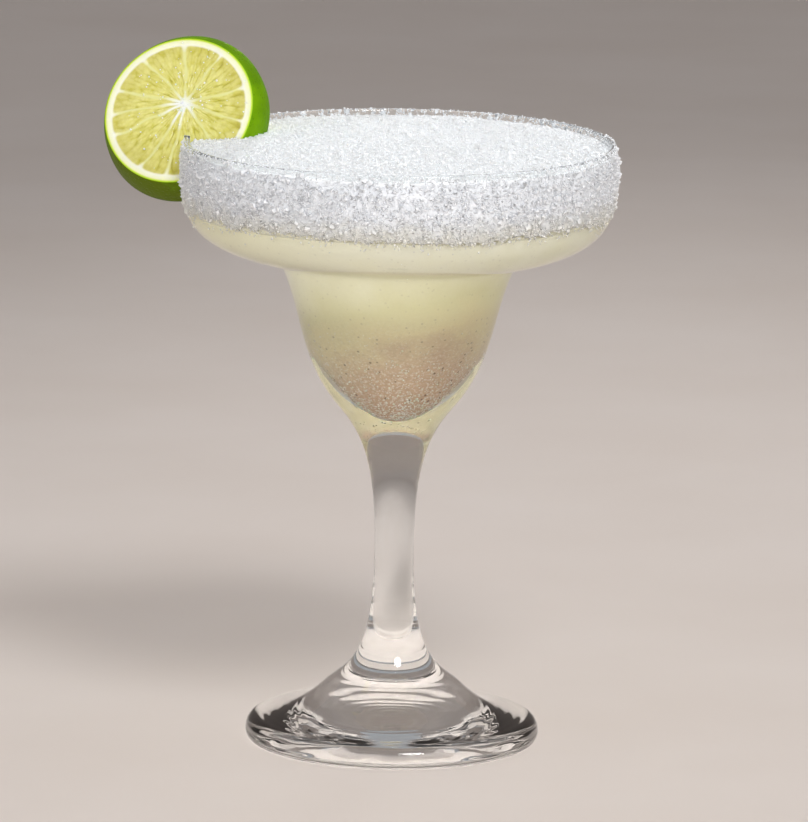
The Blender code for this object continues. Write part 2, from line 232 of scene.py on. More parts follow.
def curve(start, start_pull, end_pull, end, steps=FINE):
    """Cubic Bezier points without the first: (1-t)^3 a + 3(1-t)^2 t b + 3(1-t) t^2 c + t^3 d."""
    t = np.linspace(0, 1, steps + 1)[1:, None]
    a, b, c, d = (np.asarray(p) for p in (start, start_pull, end_pull, end))
    return (1 - t) ** 3 * a + 3 * (1 - t) ** 2 * t * b + 3 * (1 - t) * t**2 * c + t**3 * d


def pulled(point, direction, length):
    """A curve's handle: the point moved by a length in millimetres along (dr, dz)."""
    way = np.asarray(direction, float)
    return np.asarray(point) + length * MM * way / np.linalg.norm(way)


FOOT_TOP_EDGE = np.array((38.6, 6.2)) * MM
FOOT_SHOULDER = np.array((20.0, 14.6)) * MM
WAIST = np.array((5.5, 52.0)) * MM
KNEE = np.array((16.2, 95.0)) * MM
BOWL_TOP = np.array((29.7, 127.0)) * MM
STEP = np.array((35.1, 137.1)) * MM
WALL_FOOT = np.array((RIM_RADIUS - 0.3 * MM, 153.9 * MM))
CONE_TOP = np.array((15.0, 111.3)) * MM
KNEE_SLOPE, BOWL_SLOPE, SAUCER_SLOPE, CONE_SLOPE = 0.87, 0.32, 0.138, 1.25


def outer_outline():
    """The outside from the middle of the underside to just below the rim, as (radius, height) rows."""
    flat_edge = np.array((FOOT_RADIUS - 1.1 * MM, 0.0))
    bulge_low = (FOOT_RADIUS + 0.7 * MM, 0.4 * MM)
    bulge_high = (FOOT_RADIUS + 0.6 * MM, 5.3 * MM)
    underside = np.linspace(0, flat_edge[0], 12)
    return np.concatenate([
        np.stack([underside, 0 * underside], 1),
        curve(flat_edge, bulge_low, bulge_high, FOOT_TOP_EDGE),
        curve(FOOT_TOP_EDGE, pulled(FOOT_TOP_EDGE, (-1, 0.12), 6),
              pulled(FOOT_SHOULDER, (1, -1), 9.5), FOOT_SHOULDER),
        curve(FOOT_SHOULDER, pulled(FOOT_SHOULDER, (-1, 1), 7.9), pulled(WAIST, (0, -1), 31.6), WAIST, 24),
        curve(WAIST, pulled(WAIST, (0, 1), 22.5), pulled(KNEE, (-KNEE_SLOPE, -1), 13.5), KNEE, 20),
        curve(KNEE, pulled(KNEE, (KNEE_SLOPE, 1), 14.2),
              pulled(BOWL_TOP, (-BOWL_SLOPE, -1), 10.2), BOWL_TOP),
        curve(BOWL_TOP, pulled(BOWL_TOP, (BOWL_SLOPE, 1), 5.5),
              pulled(STEP, (-1, -SAUCER_SLOPE), 2.2), STEP),
        curve(STEP, pulled(STEP, (1, SAUCER_SLOPE), 15.5), pulled(WALL_FOOT, (0, -1), 9.8), WALL_FOOT, 20),
        np.array([[RIM_RADIUS - 0.15 * MM, 162 * MM], [RIM_RADIUS, GLASS_HEIGHT - RIM_WALL / 2]]),
    ])


def cavity_outline(outwards=0.0):
    """The inside from the rim down to the middle of its bottom, moved outwards into the wall if asked."""
    wall_top = np.array((RIM_RADIUS - RIM_WALL + outwards, GLASS_HEIGHT - RIM_WALL / 2))
    wall_foot = WALL_FOOT + np.array((outwards - 1.7 * MM, 0.6 * MM))
    step = STEP + np.array((outwards - 0.6 * MM, BOWL_WALL - outwards))
    bowl_top = BOWL_TOP + np.array((outwards - BOWL_WALL, 0))
    cone_top = CONE_TOP + np.array((outwards, -outwards))
    bottom = np.array((0.0, CAVITY_BOTTOM - outwards))
    return np.concatenate([
        [wall_top, (wall_top + wall_foot) / 2, wall_foot],
        curve(wall_foot, pulled(wall_foot, (0, -1), 8.6), pulled(step, (1, SAUCER_SLOPE), 14), step, 20),
        curve(step, pulled(step, (-1, -SAUCER_SLOPE), 3), pulled(bowl_top, (BOWL_SLOPE, 1), 6.5), bowl_top),
        curve(bowl_top, pulled(bowl_top, (-BOWL_SLOPE, -1), 6),
              pulled(cone_top, (1, CONE_SLOPE), 5), cone_top),
        curve(cone_top, pulled(cone_top, (-1, -CONE_SLOPE), 6), (5 * MM, bottom[1]), bottom, 24),
    ])


# %% Turn an outline into a closed body
def turned(name, outline, materials, segments=192):
    """Turns an outline about Z: x = r cos a, y = r sin a, z = z. An end on the axis is a single point."""
    angle = np.linspace(0, 2 * math.pi, segments, endpoint=False)
    r, z = outline[:, 0], outline[:, 1]
    on_axis = r < 1e-7
    ring = np.where(~on_axis)[0]
    rows = np.stack([
        r[ring, None] * np.cos(angle),
        r[ring, None] * np.sin(angle),
        np.repeat(z[ring, None], segments, 1),
    ], -1)
    points = list(rows.reshape(-1, 3))
    faces = [grid_faces(len(ring), segments, close_columns=True)[:, ::-1]]
    side, after = round_ring(segments)
    for end, first in ((0, True), (len(r) - 1, False)):
        if on_axis[end]:
            points.append((0.0, 0.0, z[end]))
            pole = np.full(segments, len(points) - 1)
            base = 0 if first else (len(ring) - 1) * segments
            fan = (pole, base + after, base + side) if first else (pole, base + side, base + after)
            faces.append(np.stack(fan, 1))
    if not on_axis[0] and not on_axis[-1]:
        last = (len(ring) - 1) * segments
        faces.append(np.stack([last + after, after, side, last + side], 1))
    return new_piece(name, np.array(points), faces, materials)


# %% [markdown]
# ## Building materials from nodes
#
# Each finish is one Principled shader fed by a few small pattern nodes that read Object coordinates, so a
# pattern stays where it is on the piece from every side. These helpers keep each recipe short enough to be
# read as a list: a noise, a ramp, a mix, a bump.

# %% Small helpers for node trees
def from_screen(red, green, blue):
    """Linear colour of a screen colour given from 0 to 255, by the sRGB curve."""
    screen = np.array((red, green, blue)) / 255
    return tuple(np.where(screen <= 0.04045, screen / 12.92, ((screen + 0.055) / 1.055) ** 2.4)) + (1.0,)


# %% A finish under construction
class Finish:
    """A material under construction: its tree, its Principled shader and shortcuts for pattern nodes."""

    def __init__(self, name, roughness, **sockets):
        self.material = bpy.data.materials.new(name)
        self.material.use_nodes = True
        self.tree = self.material.node_tree
        self.shader = self.tree.nodes["Principled BSDF"]
        self.place = self.tree.nodes.new("ShaderNodeTexCoord").outputs["Object"]
        self.set("Roughness", roughness)
        for socket, value in sockets.items():
            self.set(socket.replace("_", " "), value)

    def feed(self, node, socket, value):
        """Links a node's output to an input, or sets it. Three whole numbers are a screen colour."""
        if isinstance(value, bpy.types.NodeSocket):
            self.tree.links.new(value, node.inputs[socket])
        elif isinstance(value, tuple) and isinstance(value[0], int):
            node.inputs[socket].default_value = from_screen(*value)
        else:
            node.inputs[socket].default_value = value

    def set(self, socket, value):
        """Feeds the shader itself."""
        self.feed(self.shader, socket, value)

    def noise(self, scale, detail=3.0, roughness=0.5):
        """Cloudy noise of a scale in repeats per metre."""
        node = self.tree.nodes.new("ShaderNodeTexNoise")
        self.feed(node, "Vector", self.place)
        node.inputs["Scale"].default_value = scale
        node.inputs["Detail"].default_value = detail
        node.inputs["Roughness"].default_value = roughness
        return node.outputs["Fac"]

    def cells(self, scale):
        """Distance to the nearest of scattered points, of a scale in repeats per metre."""
        node = self.tree.nodes.new("ShaderNodeTexVoronoi")
        self.feed(node, "Vector", self.place)
        node.inputs["Scale"].default_value = scale
        return node.outputs["Distance"]

    def attribute(self, name):
        """A number stored on the piece's points."""
        node = self.tree.nodes.new("ShaderNodeAttribute")
        node.attribute_name = name
        return node.outputs["Fac"]

    def math(self, operation, a, b=0.0):
        """One calculation on one or two numbers."""
        node = self.tree.nodes.new("ShaderNodeMath")
        node.operation = operation
        self.feed(node, 0, a)
        self.feed(node, 1, b)
        return node.outputs[0]

    def times(self, a, b):
        """The product of two numbers."""
        return self.math("MULTIPLY", a, b)

    def plus(self, a, b):
        """The sum of two numbers."""
        return self.math("ADD", a, b)

    def span(self, value, low, high):
        """A number moved so that low becomes 0 and high becomes 1, and held between them."""
        node = self.tree.nodes.new("ShaderNodeMapRange")
        self.feed(node, "Value", value)
        node.inputs["From Min"].default_value = low
        node.inputs["From Max"].default_value = high
        return node.outputs["Result"]

    def ramp(self, factor, stops):
        """A ramp of screen colours with (position, colour) stops, at least two."""
        node = self.tree.nodes.new("ShaderNodeValToRGB")
        self.feed(node, "Fac", factor)
        ramp = node.color_ramp
        while len(ramp.elements) < len(stops):
            ramp.elements.new(0.5)
        for element, (position, colour) in zip(ramp.elements, stops):
            element.position = position
            element.color = from_screen(*colour)
        return node.outputs["Color"]

    def mix(self, factor, a, b):
        """Two colours mixed by a factor."""
        node = self.tree.nodes.new("ShaderNodeMix")
        node.data_type = "RGBA"
        self.feed(node, 0, factor)
        self.feed(node, 6, a)
        self.feed(node, 7, b)
        return node.outputs[2]

    def bump(self, height, strength, distance):
        """Gives the shader fine relief from a height, its depth given in metres."""
        node = self.tree.nodes.new("ShaderNodeBump")
        self.feed(node, "Height", height)
        node.inputs["Strength"].default_value = strength
        node.inputs["Distance"].default_value = distance
        self.set("Normal", node.outputs["Normal"])

    def let_lamps_through(self, share):
        """Lets a share of the lamps' light reach what stands in or behind clear glass."""
        nodes, link = self.tree.nodes, self.tree.links.new
        clear = nodes.new("ShaderNodeBsdfTransparent")
        clear.inputs["Color"].default_value = (share, share, share, 1.0)
        rays = nodes.new("ShaderNodeLightPath")
        either = nodes.new("ShaderNodeMixShader")
        link(rays.outputs["Is Shadow Ray"], either.inputs[0])
        link(self.shader.outputs[0], either.inputs[1])
        link(clear.outputs[0], either.inputs[2])
        link(either.outputs[0], nodes["Material Output"].inputs["Surface"])

    def axis(self, name):
        """One coordinate of the place on the piece."""
        node = self.tree.nodes.new("ShaderNodeSeparateXYZ")
        self.feed(node, 0, self.place)
        return node.outputs[name]


# %% [markdown]
# ## Glass
#
# Soda-lime glass has an index of about 1.5 and is all but clear. What makes it look real is what it bends,
# so the finish stays simple: full transmission, a trace of cold tint, a very slight waviness from pressing,
# fine rings on the foot, and faint dull patches where hands and the table have touched it. The rings are
# bump and not mesh, because they are far too shallow to show in the outline.

# %% Clear glass
FOOT_RING = 2.6 * MM


def glass_finish():
    """Clear glass: faint handling marks in its roughness, pressing waves, rings turned on the foot."""
    finish = Finish("clear_glass", 0.0, Transmission_Weight=1.0, IOR=1.5)
    finish.set("Base Color", (0.985, 0.995, 0.99, 1.0))
    marks = finish.span(finish.noise(60, detail=6, roughness=0.7), 0.55, 0.8)
    finish.set("Roughness", finish.times(marks, 0.035))
    x, y, z = (finish.axis(name) for name in "XYZ")
    square = finish.plus(finish.math("POWER", x, 2.0), finish.math("POWER", y, 2.0))
    reach = finish.math("SQRT", square)
    wander = finish.times(finish.noise(60, detail=2), 3 * MM)
    turns = finish.times(finish.plus(reach, wander), 2 * math.pi / FOOT_RING)
    near_foot = finish.span(z, 16 * MM, 8 * MM)
    rings = finish.times(finish.times(finish.math("SINE", turns), near_foot), 0.45)
    finish.bump(finish.plus(finish.noise(35, detail=1), rings), 0.04, 0.6 * MM)
    finish.let_lamps_through(1.0)
    return finish.material


def make_glass():
    """The whole glass with a half-round rim, turned in one go."""
    outside, inside = outer_outline(), cavity_outline()
    turn = np.linspace(0, math.pi, 13)[1:-1]
    middle = RIM_RADIUS - RIM_WALL / 2
    rim = np.stack([
        middle + RIM_WALL / 2 * np.cos(turn),
        GLASS_HEIGHT - RIM_WALL / 2 + RIM_WALL / 2 * np.sin(turn),
    ], 1)
    return turned("glass_body", np.concatenate([outside, rim, inside]), [glass_finish()])


glass_body = seat(make_glass(), "glass")

# %% [markdown]
# ## Drink
#
# Lime juice and melting ice make the drink cloudy: nearly opaque and creamy yellow-green near the ice, and
# thinner and browner towards the bottom of the lower bowl. So little light gets through it that a plain
# scattering surface will do, and a ramp over the height carries the change of colour, shifted by noise so
# that its edge is cloudy. Real depth from subsurface scattering would cost time and change little here. The
# surface reaches a little into the glass, so that no air gap shows between them.

# %% Cloudy drink
DRINK_BOTTOM_COLOUR = (190, 152, 124)
DRINK_LOW_COLOUR = (214, 188, 157)
DRINK_MIDDLE_COLOUR = (236, 224, 180)
DRINK_HIGH_COLOUR = (234, 229, 186)
DRINK_SAUCER_COLOUR = (254, 252, 230)
DRINK_TOP_COLOUR = (253, 252, 240)
DRINK_LEFT_COLOUR = (252, 246, 200)
DARK_MOTE_COLOUR = (96, 70, 52)


def drink_finish():
    """Milky lime drink whose colour changes with height and drifts sideways like a cloud."""
    finish = Finish("cloudy_lime_drink", 0.08, IOR=1.18)
    drift = finish.times(finish.math("SUBTRACT", finish.noise(90, detail=5), 0.5), 11 * MM)
    sideways = finish.times(finish.axis("X"), -0.18)
    behind = finish.math("MAXIMUM", finish.axis("Y"), -20 * MM)
    backwards = finish.times(finish.plus(behind, 20 * MM), 0.3)
    lean = finish.plus(sideways, finish.math("MINIMUM", backwards, 12 * MM))
    height = finish.plus(finish.plus(finish.axis("Z"), drift), lean)
    share = finish.span(height, CAVITY_BOTTOM, DRINK_LEVEL)
    colour = finish.ramp(share, [
        (0.06, DRINK_BOTTOM_COLOUR), (0.3, DRINK_LOW_COLOUR), (0.43, DRINK_MIDDLE_COLOUR),
        (0.58, DRINK_HIGH_COLOUR), (0.84, DRINK_SAUCER_COLOUR), (0.98, DRINK_TOP_COLOUR),
    ])
    # The saucer is yellower on its left, where the light comes through less ice.
    saucer = finish.times(finish.span(finish.axis("Z"), 133 * MM, 139 * MM), 0.65)
    to_left = finish.span(finish.axis("X"), 35 * MM, -55 * MM)
    colour = finish.mix(finish.times(saucer, to_left), colour, DRINK_LEFT_COLOUR)
    # Pale flecks with darker gaps, thickest low down in the bowl, and a few dark motes.
    low_down = finish.span(finish.axis("Z"), 126 * MM, 108 * MM)
    crowd = finish.plus(finish.times(low_down, 0.7), 0.1)
    pale = finish.times(finish.span(finish.noise(1500, detail=1), 0.54, 0.7), 0.5)
    hollow = finish.noise(1000, detail=1, roughness=0.8)
    gaps = finish.times(finish.span(hollow, 0.5, 0.36), 0.14)
    dark = finish.span(finish.cells(420), 0.17, 0.1)
    colour = finish.mix(finish.times(gaps, crowd), colour, DARK_MOTE_COLOUR)
    colour = finish.mix(finish.times(pale, crowd), colour, DRINK_TOP_COLOUR)
    colour = finish.mix(finish.times(dark, crowd), colour, DARK_MOTE_COLOUR)
    finish.set("Base Color", colour)
    return finish.material


def make_drink():
    """The drink's body: the cavity's outline moved into the wall, up to the underside of the ice."""
    inside = cavity_outline(INTO_WALL)
    below = inside[inside[:, 1] < DRINK_LEVEL]
    shore = np.interp(DRINK_LEVEL, inside[::-1, 1], inside[::-1, 0])
    top = np.array([[0.0, DRINK_LEVEL], [shore, DRINK_LEVEL]])
    return turned("drink_body", np.concatenate([top, below])[::-1], [drink_finish()], 144)


drink_body = seat(make_drink(), "drink")

# %% [markdown]
# ## Bubbles
#
# Tiny bubbles cling to the wall of the lower bowl, thickest near its bottom. Each is a ball of twenty faces
# that stands half in the glass, so it shows as a pale bead. One joined mesh holds them all, because loose
# particles wouldn't survive the export.

# %% Bubbles on the wall of the lower bowl
GOLDEN = (1 + math.sqrt(5)) / 2
BALL_CORNERS = np.array(
    [(0, a, b * GOLDEN) for a in (-1, 1) for b in (-1, 1)]
    + [(a, b * GOLDEN, 0) for a in (-1, 1) for b in (-1, 1)]
    + [(b * GOLDEN, 0, a) for a in (-1, 1) for b in (-1, 1)], float)
BALL_CORNERS /= np.linalg.norm(BALL_CORNERS[0])


def ball_faces():
    """The ball's twenty triangles: every three corners that are each other's nearest, facing outwards."""
    reach = np.linalg.norm(BALL_CORNERS[:, None] - BALL_CORNERS[None], axis=2)
    near = (reach > 0) & (reach < 1.1 * reach[reach > 0].min())
    faces = []
    for a, b, c in itertools.combinations(range(12), 3):
        if near[a, b] and near[b, c] and near[a, c]:
            p, q, r = BALL_CORNERS[[a, b, c]]
            faces.append((a, b, c) if np.dot(np.cross(q - p, r - p), p) > 0 else (a, c, b))
    return np.array(faces)


BALL_FACES = ball_faces()


def balls(centres, radii):
    """Points and faces of small balls, one at each centre (n, 3)."""
    points = BALL_CORNERS[None] * radii[:, None, None] + centres[:, None, :]
    faces = BALL_FACES[None] + 12 * np.arange(len(centres))[:, None, None]
    return points.reshape(-1, 3), faces.reshape(-1, 3)


def bubble_finish():
    """Pale, shiny beads."""
    finish = Finish("fine_bubbles", 0.12, Subsurface_Weight=0.6, Subsurface_Scale=1 * MM)
    finish.set("Base Color", finish.ramp(finish.noise(900), [
        (0.35, (226, 214, 190)), (0.65, (250, 246, 232)),
    ]))
    return finish.material


def make_bubbles(count=3000):
    """Beads on the cavity's wall, denser towards the bottom of the lower bowl."""
    rng = np.random.default_rng(11)
    inside = cavity_outline(INTO_WALL)[::-1]
    height = CAVITY_BOTTOM + 26 * MM * rng.beta(1.0, 2.2, count)
    radius = np.interp(height, inside[:, 1], inside[:, 0])
    angle = rng.uniform(0, 2 * math.pi, count)
    size = np.clip(rng.gamma(5.0, 0.028, count), 0.07, 0.36) * MM
    centres = np.stack([radius * np.cos(angle), radius * np.sin(angle), height], 1)
    points, faces = balls(centres, size)
    return new_piece("drink_bubbles", points, [faces], [bubble_finish()])


drink_bubbles = seat(make_bubbles(), None)

# %% [markdown]
# ## Crushed ice
#
# The ice is fine and wet, close to packed snow: grains of about a millimetre that have frozen together,
# white because they scatter light. The heap is one surface over a disc, a low dome with a slow drift and
# two sizes of pebbles on it. A square grid bent onto the disc keeps its cells nearly the same size
# everywhere, where a polar grid would crowd its middle. Loose grains lie on top of it.

# %% Wet white ice
def ice_finish(name, roughness, depth_share):
    """White ice, a share of whose light goes deep, faintly blue in places at random, soaked with drink low
    down.
    """
    finish = Finish(name, roughness, Subsurface_Weight=depth_share, Subsurface_Scale=2.0 * MM, IOR=1.31)
    finish.set("Subsurface Radius", (0.8, 0.9, 1.0))
    grain = finish.noise(900, detail=4, roughness=0.7)
    white = finish.ramp(grain, [(0.3, (243, 247, 251)), (0.6, (252, 254, 255))])
    soaked = finish.span(finish.axis("Z"), 157 * MM, 152 * MM)
    finish.set("Base Color", finish.mix(soaked, white, (253, 250, 228)))
    finish.bump(finish.noise(2200, detail=2), 0.35, 0.15 * MM)
    return finish.material


def ice_height(x, y):
    """Height of the bare heap: a low dome, a slow drift, and a rise where the wheel pushes the ice up."""
    share = np.clip(np.hypot(x, y) / RIM_RADIUS, 0, 1)
    by_wheel = np.exp(-((x + 50 * MM) ** 2 + (y - 4 * MM) ** 2) / (18 * MM) ** 2)
    drift = soft_noise(np.stack([x, y], 1), 16 * MM, 3) * 0.5 * MM
    return ICE_EDGE + ICE_DOME * (1 - share**2) + 1.2 * MM * by_wheel + drift


def ice_surface(x, y):
    """The heap with its pebbles, kept just below the rim beside the wall."""
    flat = np.stack([x, y], 1)
    coarse = pebbles(flat, 3.4 * MM, 5) * 0.45 * MM + pebbles(flat, 1.7 * MM, 7) * 0.3 * MM
    fine = pebbles(flat, 0.9 * MM, 9) * 0.25 * MM
    height = ice_height(x, y) + coarse + fine - 0.5 * MM
    near_wall = np.clip((np.hypot(x, y) - (RIM_RADIUS - 6 * MM)) / (4 * MM), 0, 1)
    return np.minimum(height, GLASS_HEIGHT - 1.8 * MM * near_wall + 9 * MM * (1 - near_wall))


# %% A grid bent onto a disc
def disc_grid(cells):
    """A square grid bent onto the unit disc: each square ring becomes a circle of the same share."""
    line = np.linspace(-1, 1, cells + 1)
    u, v = np.meshgrid(line, line, indexing="ij")
    reach = np.maximum(np.abs(u), np.abs(v))
    wide = np.abs(u) >= np.abs(v)
    with np.errstate(divide="ignore", invalid="ignore"):
        angle = np.where(wide, math.pi / 4 * v / u, math.pi / 2 - math.pi / 4 * u / v)
    angle = np.where(wide & (u < 0) | ~wide & (v < 0), angle + math.pi, angle)
    angle = np.where(reach == 0, 0, angle)
    return (reach * np.cos(angle)).ravel(), (reach * np.sin(angle)).ravel()


def ring_of_grid(cells):
    """Indices of the grid's border, once round, anticlockwise seen from above."""
    side = cells + 1
    line = np.arange(cells)
    return np.concatenate([line * side, cells * side + line, (cells - line) * side + cells, cells - line])


# %% The heap as one closed form
def make_ice(cells=288):
    """The heap: its top over the disc, then its side down the wall to a flat underside."""
    inside = cavity_outline(INTO_WALL)
    wall = inside[inside[:, 1] > DRINK_LEVEL][::-1]
    top_radius = np.interp(ICE_EDGE, wall[:, 1], wall[:, 0])
    x, y = disc_grid(cells)
    x, y = x * top_radius, y * top_radius
    top = np.stack([x, y, ice_surface(x, y)], 1)
    ring = ring_of_grid(cells)
    edge = top[ring]
    around = np.arctan2(edge[:, 1], edge[:, 0])
    levels = np.linspace(ICE_EDGE - 1.5 * MM, DRINK_LEVEL - 0.1 * MM, 12)
    radii = np.interp(levels, wall[:, 1], wall[:, 0])
    rows = np.stack([
        radii[:, None] * np.cos(around), radii[:, None] * np.sin(around),
        np.repeat(levels[:, None], len(around), 1),
    ], -1).reshape(-1, 3)
    base = len(top)
    count = len(ring)
    side, after = round_ring(count)
    skirt = np.stack([ring, base + side, base + after, ring[after]], 1)
    sides = base + grid_faces(len(levels), count, close_columns=True)
    last = base + (len(levels) - 1) * count
    middle = base + len(rows)
    floor = np.stack([np.full(count, middle), last + after, last + side], 1)
    points = np.concatenate([top, rows, [[0, 0, levels[-1]]]])
    cells_up = grid_faces(cells + 1, cells + 1)
    finish = ice_finish("packed_ice", 0.4, 0.0)
    return new_piece("ice_heap", points, [cells_up, skirt, sides, floor], [finish])


ice_heap = seat(make_ice(), "crushed_ice")

# %% [markdown]
# Grains finer than rice are relief on the heap, and loose ones lie on top. A sunflower spiral spreads them
# evenly, where plain random places would leave bare spots. The lime wheel's place is kept clear, for which
# the wheel's own frame is needed next.

# %% Loose grains on the heap
def make_ice_grains(count=24500):
    """Small frozen grains scattered evenly over the heap, half sunk, none inside the lime wheel."""
    rng = np.random.default_rng(21)
    index = np.arange(count) + 0.5
    reach = (RIM_RADIUS - RIM_WALL - 1.2 * MM) * np.sqrt(index / count)
    angle = index * math.pi * (3 - math.sqrt(5)) + rng.normal(0, 0.02, count)
    x, y = reach * np.cos(angle), reach * np.sin(angle)
    size = np.clip(rng.gamma(6.0, 0.085, count), 0.22, 1.2) * MM
    z = ice_surface(x, y) + 0.1 * size
    centres = np.stack([x, y, z], 1)
    keep = ~inside_wheel(centres, 0.4 * MM)
    points, faces = scattered(SHARD, centres[keep], size[keep], rng)
    return new_piece("ice_grains", points, [faces], [ice_finish("loose_ice", 0.3, 0.5)], smooth=False)


# %% [markdown]
# ## The wheel's own frame
#
# The wheel is easiest to build flat and then stand up. Its own Z looks out of the front face and its own Y
# runs up it. Its face was fitted to the ellipse in the photograph: it leans back by about 30 degrees and
# is turned a little to the left.

# %% Where the lime wheel sits
LIME_FACE_RADIUS = 21.7 * MM
LIME_RADIUS = 24.0 * MM
LIME_THICKNESS = 8.8 * MM
LIME_CENTRE = np.array((-61.9, 8.55, 176.5)) * MM
LIME_LEAN = math.radians(30.5)
LIME_TURN = math.radians(19.0)
LIME_CORE = np.array((1.57, 2.4)) * MM
CROWN = 1.05 * MM
CROWN_WAY = math.radians(75)
CROWN_SHARPNESS = 1.5
MEMBRANES = np.radians((102, 63, 18, -15, -48, -93, -113, -149, -168, -187, -219))
WHEEL_X = np.array((math.cos(LIME_TURN), -math.sin(LIME_TURN), 0))
WHEEL_Z = np.array((
    -math.cos(LIME_LEAN) * math.sin(LIME_TURN), -math.cos(LIME_LEAN) * math.cos(LIME_TURN),
    math.sin(LIME_LEAN),
))
WHEEL_Y = np.cross(WHEEL_Z, WHEEL_X)
WHEEL_AXES = np.stack([WHEEL_X, WHEEL_Y, WHEEL_Z])


def wheel_to_world(points):
    """Own coordinates of the wheel to the frame's: centre + x X + y Y + z Z."""
    return LIME_CENTRE + points @ WHEEL_AXES


def rind_radius(depth):
    """Radius of the rind at a depth behind the face, on a ball cut towards its middle."""
    from_middle = math.sqrt(LIME_RADIUS**2 - LIME_FACE_RADIUS**2) - depth
    return np.sqrt(LIME_RADIUS**2 - from_middle**2)


def crown(depth, angle):
    """Extra bulge of the rind's upper side: height * cos(angle from the middle)^1.5 * sin(pi depth)."""
    upwards = np.clip(np.cos(angle - CROWN_WAY), 0, None) ** CROWN_SHARPNESS
    return CROWN * upwards * np.sin(math.pi * depth / LIME_THICKNESS)


def inside_wheel(points, margin):
    """Which points lie inside the wheel, or closer to it than a margin."""
    own = (points - LIME_CENTRE) @ WHEEL_AXES.T
    depth = -own[:, 2]
    between = (depth > -margin) & (depth < LIME_THICKNESS + margin)
    rind = rind_radius(np.clip(depth, 0, LIME_THICKNESS))
    return between & (np.hypot(own[:, 0], own[:, 1]) < rind + margin)


ice_grains = seat(make_ice_grains(), None)

# %% [markdown]
# ## Salt
#
# The rim was wetted and rolled in coarse salt, which sticks to the outside alone in a band of about
# eighteen millimetres. Under it is a thin crust of crushed crystals with a ragged lower edge, and on it
# stand whole crystals, sparser towards the very edge of the rim, where clear glass shows.

# %% Salt crust
def salt_finish(name, roughness):
    """White salt: scattering, with a hard glint on each facet."""
    finish = Finish(name, roughness, Subsurface_Weight=0.85, Subsurface_Scale=1.2 * MM, IOR=1.3)
    finish.set("Subsurface Radius", (1.0, 1.0, 1.0))
    white = finish.ramp(finish.noise(700, detail=3), [(0.3, (226, 229, 234)), (0.65, (237, 240, 244))])
    wet = finish.times(finish.math("SUBTRACT", finish.noise(260, detail=4), 0.5), 10 * MM)
    low_down = finish.span(finish.plus(finish.axis("Z"), wet), 158 * MM, 152 * MM)
    finish.set("Base Color", finish.mix(low_down, white, (220, 219, 212)))
    return finish.material


def wall_radius(height):
    """Outer radius of the glass's upright wall at a height."""
    outside = outer_outline()
    upper = outside[outside[:, 1] > STEP[1]]
    return np.interp(height, upper[:, 1], upper[:, 0])


def salt_low_edge(angle):
    """The ragged lower edge of the salt, round the glass: a height for each angle."""
    around = np.stack([np.cos(angle), np.sin(angle)], 1) * RIM_RADIUS
    broad = soft_noise(around, 9 * MM, 31) * 1.2 * MM
    return SALT_LOW + 0.5 * MM + broad + soft_noise(around, 2.2 * MM, 33) * 0.9 * MM


def crust_depth(angle, height):
    """Thickness of the crust at an angle and height: thin at both edges, lumpy between them."""
    low = salt_low_edge(angle)
    share = (height - low) / (SALT_HIGH - low)
    flat = wall_radius(height)
    place = np.stack([flat * np.cos(angle), flat * np.sin(angle), height], 1)
    lumps = 0.32 * pebbles(place, 1.5 * MM, 41) + 0.18 * pebbles(place, 0.75 * MM, 47)
    waves = 0.15 * soft_noise(place, 4 * MM, 43)
    ease = np.clip(np.minimum(share * 2.2, (1 - share) * 5), 0, 1)
    return (0.03 + ease * (0.45 + lumps + waves)) * MM


def make_salt_crust(around=1060, up=42):
    """A thin crumbly shell on the wall: outwards by its thickness, inwards just into the glass."""
    angle = np.linspace(0, 2 * math.pi, around, endpoint=False)
    share = np.linspace(0, 1, up)[:, None]
    low = salt_low_edge(angle)
    height = low + (SALT_HIGH - low) * share
    flat = wall_radius(height)
    depth = crust_depth(np.tile(angle, up), height.ravel()).reshape(height.shape)
    rows = [(flat + depth, height), ((flat - 0.1 * MM)[::-1], height[::-1])]
    shells = [np.stack([r * np.cos(angle), r * np.sin(angle), z], -1).reshape(-1, 3) for r, z in rows]
    faces = grid_faces(2 * up, around, close_columns=True)
    last = (2 * up - 1) * around
    side, after = round_ring(around)
    closing = np.stack([last + side, side, after, last + after], 1)
    finish = salt_finish("salt_bed", 0.5)
    return new_piece("salt_crust", np.concatenate(shells), [faces[:, ::-1], closing[:, ::-1]], [finish])


salt_crust = seat(make_salt_crust(), "salt_rim")

# %% [markdown]
# On the crust sit two sizes of loose salt: broken grains under half a millimetre, and whole cubes. Both use
# the same rule for their places: most on the crust, a few on the bare rim above it, and a few below it.

# %% Salt grains and crystals
def on_the_rim(count, rng, rim_share, fringe_share):
    """Places on crust, rim and fringe: angle and height, thinning out above and below the crust."""
    angle = rng.uniform(0, 2 * math.pi, count)
    low = salt_low_edge(angle)
    height = low + (SALT_HIGH - low) * rng.uniform(0, 1, count)
    kind = rng.uniform(0, 1, count)
    above = SALT_HIGH + (GLASS_HEIGHT + 0.1 * MM - SALT_HIGH) * rng.uniform(0, 1, count)
    below = low - rng.exponential(0.7 * MM, count)
    height = np.where(kind < rim_share, above, np.where(kind > 1 - fringe_share, below, height))
    return angle, np.maximum(height, STEP[1] + 4 * MM)


